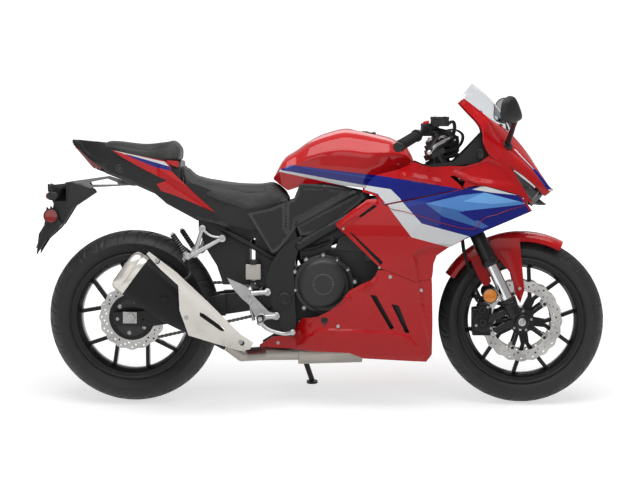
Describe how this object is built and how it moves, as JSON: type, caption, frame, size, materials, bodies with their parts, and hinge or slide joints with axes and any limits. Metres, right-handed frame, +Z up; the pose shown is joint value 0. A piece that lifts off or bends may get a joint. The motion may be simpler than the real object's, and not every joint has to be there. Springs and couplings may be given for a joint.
{
  "type": "sport bike",
  "caption": "Fully faired sport motorcycle with two in-line wheels, low bars, under-engine exhaust and side stand, parked leaning on the stand.",
  "frame": {"origin": "middle of the machine's bounding box, on the ground plane, parked on its side stand", "axes": "+X towards the front wheel, +Y to the rider's left, +Z up from the ground; the machine leans 10 degrees towards +Y"},
  "size_m": [2.072, 0.7679, 1.1496],
  "materials": {
    "frame_black": "satin",
    "engine_black": "matte",
    "plain_alloy": "satin",
    "exhaust_steel": "satin",
    "shield_champagne": "satin",
    "muffler_black": "satin",
    "body_red": "gloss",
    "black_plastic": "matte",
    "seat_cover": "matte",
    "lamp_clear": "gloss",
    "lamp_red": "gloss",
    "screen_clear": "gloss",
    "tyre_rubber": "matte",
    "wheel_black": "gloss",
    "disc_steel": "satin",
    "chain_steel": "satin",
    "hose_rubber": "satin",
    "reservoir_plastic": "satin",
    "spring_red": "gloss"
  },
  "bodies": {
    "root": {"frame": "frame_black", "subframe": "frame_black", "swingarm": "frame_black", "rear_axle": "plain_alloy", "crankcase": "engine_black", "cylinder_head": "engine_black", "engine_covers": "engine_black", "radiator": "engine_black", "exhaust_pipe": "exhaust_steel", "muffler": "muffler_black", "muffler_shield": "shield_champagne", "muffler_end_cap": "shield_champagne", "fuel_tank": "body_red", "fuel_cap": "black_plastic", "rider_seat": "seat_cover", "pillion_seat": "seat_cover", "tail_cowl": "body_red", "tail_light": "lamp_red", "tail_under_cover": "black_plastic", "plate_hanger": "black_plastic", "inner_mudguard": "black_plastic", "side_covers": "black_plastic", "side_fairings": "body_red", "lower_fairings": "body_red", "upper_cowls": "body_red", "nose_cowl": "body_red", "cowl_stay": "frame_black", "headlight": "lamp_clear", "windscreen": "screen_clear", "dash_panel": "black_plastic", "mirrors": "black_plastic", "passenger_steps": "plain_alloy", "rider_steps": "plain_alloy", "rear_reservoir": "reservoir_plastic", "rear_caliper": "engine_black", "drive_chain": "chain_steel", "shock_absorber": "spring_red"},
    "fork": {"steering_yokes": "frame_black", "fork_legs": "frame_black", "handlebars": "frame_black", "hand_controls": "black_plastic", "front_fender": "body_red", "front_calipers": "engine_black", "front_axle": "plain_alloy", "brake_hoses": "hose_rubber"},
    "front_wheel": {"front_tyre": "tyre_rubber", "front_rim": "wheel_black", "front_discs": "disc_steel"},
    "rear_wheel": {"rear_tyre": "tyre_rubber", "rear_rim": "wheel_black", "rear_disc": "disc_steel", "rear_sprocket": "plain_alloy"},
    "stand": {"side_stand": "frame_black"}
  },
  "joints": [
    {"name": "steering", "type": "hinge", "parent": "root", "child": "fork", "pos_m": [0.46976, -0.00951, 0.76443], "axis": [-0.4305, 0.1567, 0.8889], "range_deg": [-30, 30]},
    {"name": "front_wheel_spin", "type": "hinge", "parent": "fork", "child": "front_wheel", "pos_m": [0.738, -0.09204, 0.29638], "axis": [0, 0.9848, -0.1736], "continuous": true},
    {"name": "rear_wheel_spin", "type": "hinge", "parent": "root", "child": "rear_wheel", "pos_m": [-0.672, -0.0899, 0.30854], "axis": [0, 0.9848, -0.1736], "continuous": true},
    {"name": "stand_fold", "type": "hinge", "parent": "root", "child": "stand", "pos_m": [-0.1, 0.06467, 0.22919], "axis": [0, 0.9404, 0.3402], "range_deg": [0, 107]}
  ]
}
